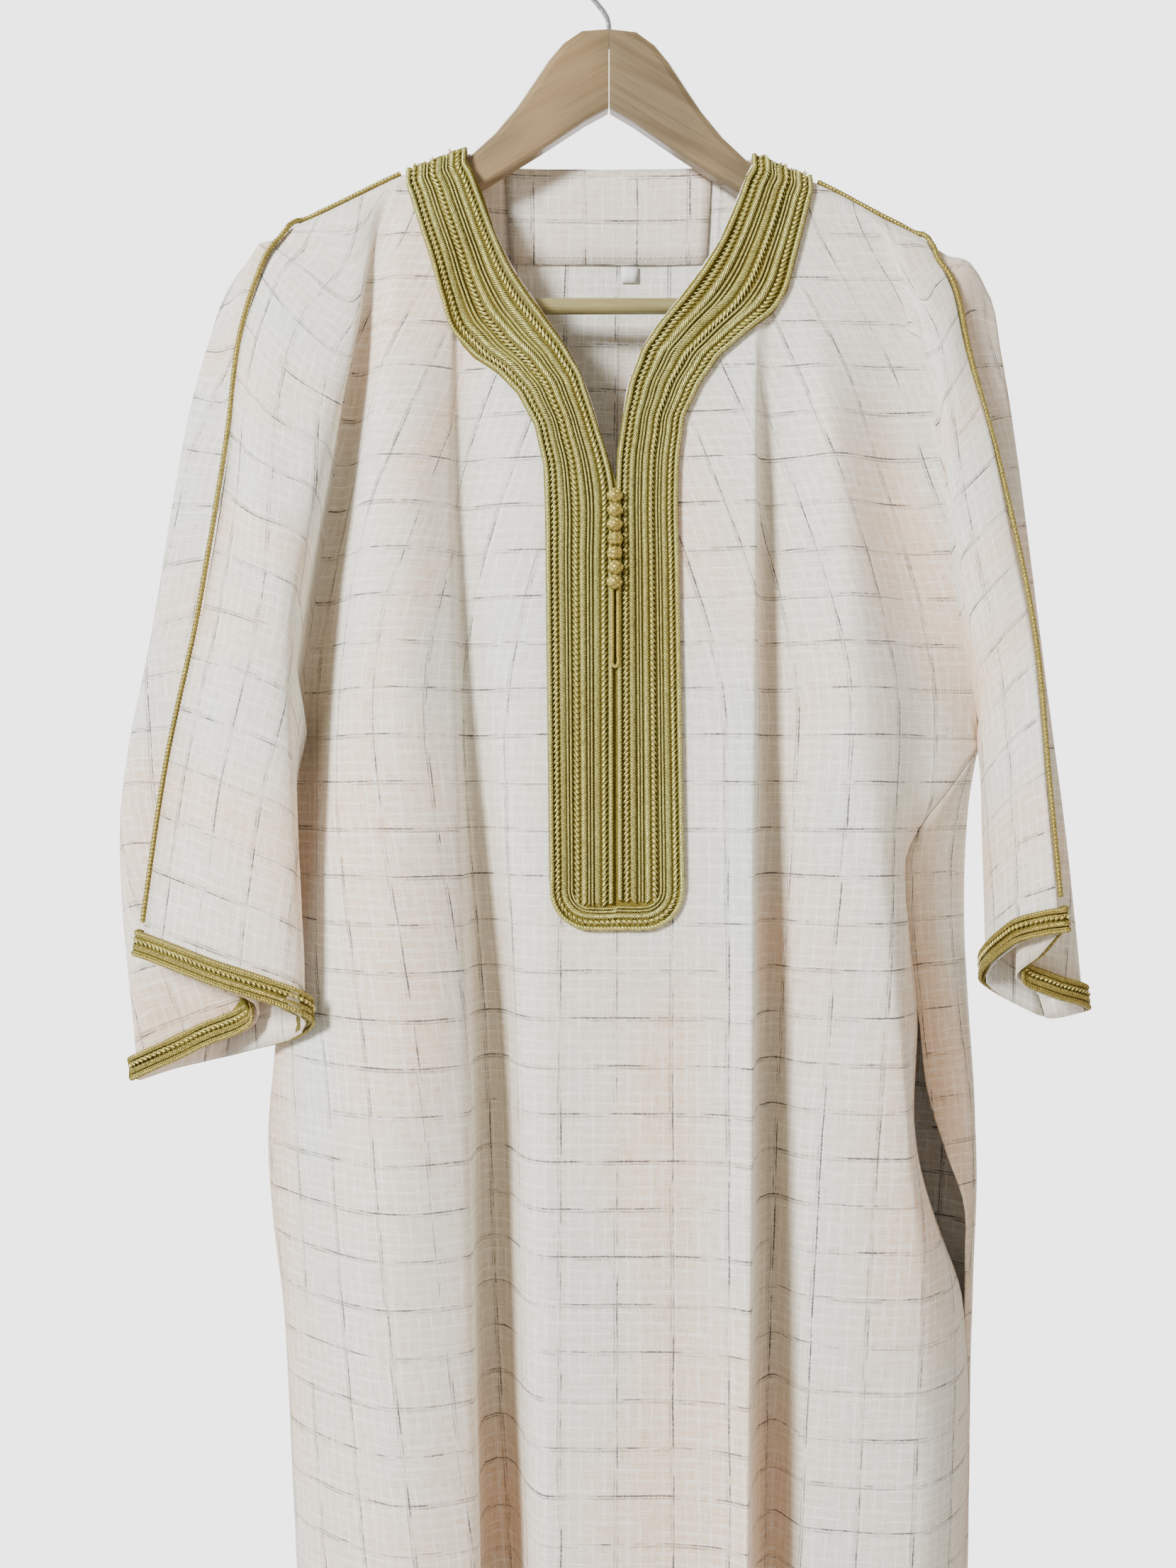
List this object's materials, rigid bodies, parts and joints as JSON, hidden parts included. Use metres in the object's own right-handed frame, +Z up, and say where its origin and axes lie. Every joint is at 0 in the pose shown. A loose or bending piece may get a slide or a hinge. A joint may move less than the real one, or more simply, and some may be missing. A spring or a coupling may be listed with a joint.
{
  "type": "djellaba on a wooden hanger",
  "caption": "Long straight short-sleeved robe with gold braid round the neck and placket and on the cuffs, hanging on a wooden hanger.",
  "frame": {"origin": "inner crest of the hanger's hook, where a rail carries it", "axes": "+Z up, +X to the right of the picture, the robe's front faces -Y"},
  "size_m": [0.5868, 0.1353, 1.5032],
  "materials": {
    "robe_cloth": "matt slub weave with a thin grey windowpane",
    "gold_braid": "satin metallic herringbone braid",
    "gold_cord": "satin twisted cord",
    "inner_facing": "matt plain weave",
    "label_tape": "satin woven tape, bare",
    "hanger_wood": "clear satin lacquer",
    "bar_wood": "clear satin lacquer",
    "hook_steel": "bright plated wire"
  },
  "bodies": {
    "root": {"front_panel": "robe_cloth", "back_panel": "robe_cloth", "sleeve_left_front": "robe_cloth", "sleeve_left_back": "robe_cloth", "sleeve_right_front": "robe_cloth", "sleeve_right_back": "robe_cloth", "back_neck_facing": "inner_facing", "neck_braid": "gold_braid", "cuff_braid_left": "gold_braid", "cuff_braid_right": "gold_braid", "shoulder_cord_left": "gold_cord", "shoulder_cord_right": "gold_cord", "placket_loop": "gold_cord", "knot_1": "gold_cord", "knot_2": "gold_cord", "knot_3": "gold_cord", "knot_4": "gold_cord", "knot_5": "gold_cord", "knot_6": "gold_cord", "knot_7": "gold_cord", "size_label": "label_tape", "hanger_arm_left": "hanger_wood", "hanger_arm_right": "hanger_wood", "hanger_bar": "bar_wood", "hanger_hook": "hook_steel"}
  },
  "joints": []
}
